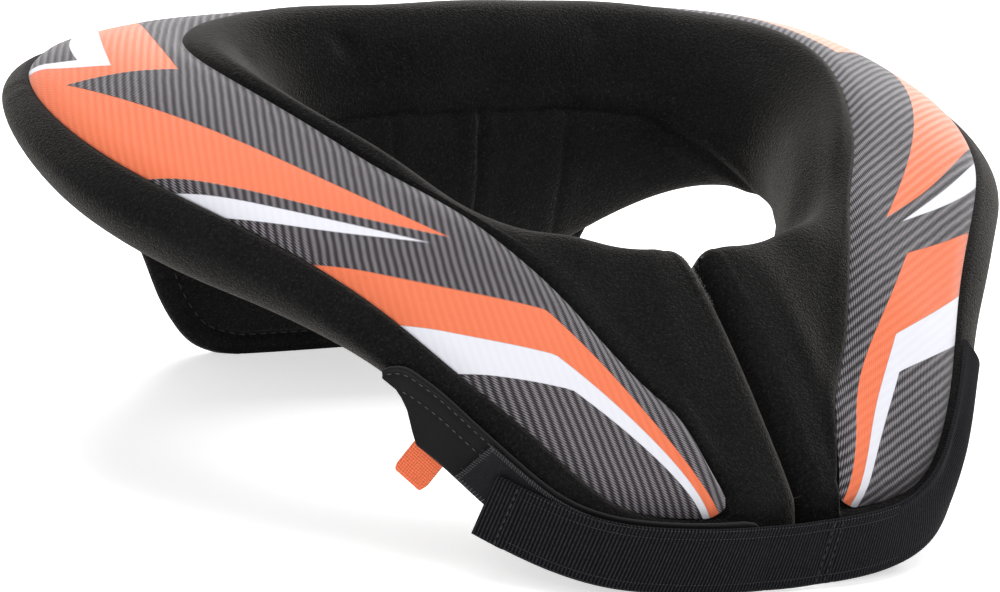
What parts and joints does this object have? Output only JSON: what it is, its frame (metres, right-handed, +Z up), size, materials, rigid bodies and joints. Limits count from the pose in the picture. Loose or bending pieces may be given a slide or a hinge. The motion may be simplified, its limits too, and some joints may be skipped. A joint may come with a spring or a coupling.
{
  "type": "neck brace",
  "caption": "Soft foam neck collar for riding: split horseshoe roll with a ribbed printed panel, a padded back flap, a front strap with a fastening patch and an orange pull tab.",
  "frame": {"origin": "middle of the bounding box, on the floor the collar rests on", "axes": "+Z up, the split front faces -Y, +X towards the wearer's left"},
  "size_m": [0.303, 0.2528, 0.1155],
  "materials": {
    "brushed_cloth": "brushed black cover over foam",
    "printed_cloth": "ribbed grey weave with orange and white stripes",
    "base_cloth": "flat black cloth with stitched edges",
    "loop_cloth": "fuzzy black fastening loop",
    "tab_webbing": "woven orange tape",
    "strap_webbing": "black ribbed grosgrain"
  },
  "bodies": {
    "root": {"collar": "brushed_cloth", "printed_panel": "printed_cloth", "back_flap": "brushed_cloth", "strap_anchor": "base_cloth", "loop_patch": "loop_cloth", "pull_tab": "tab_webbing", "strap": "strap_webbing"}
  },
  "joints": []
}
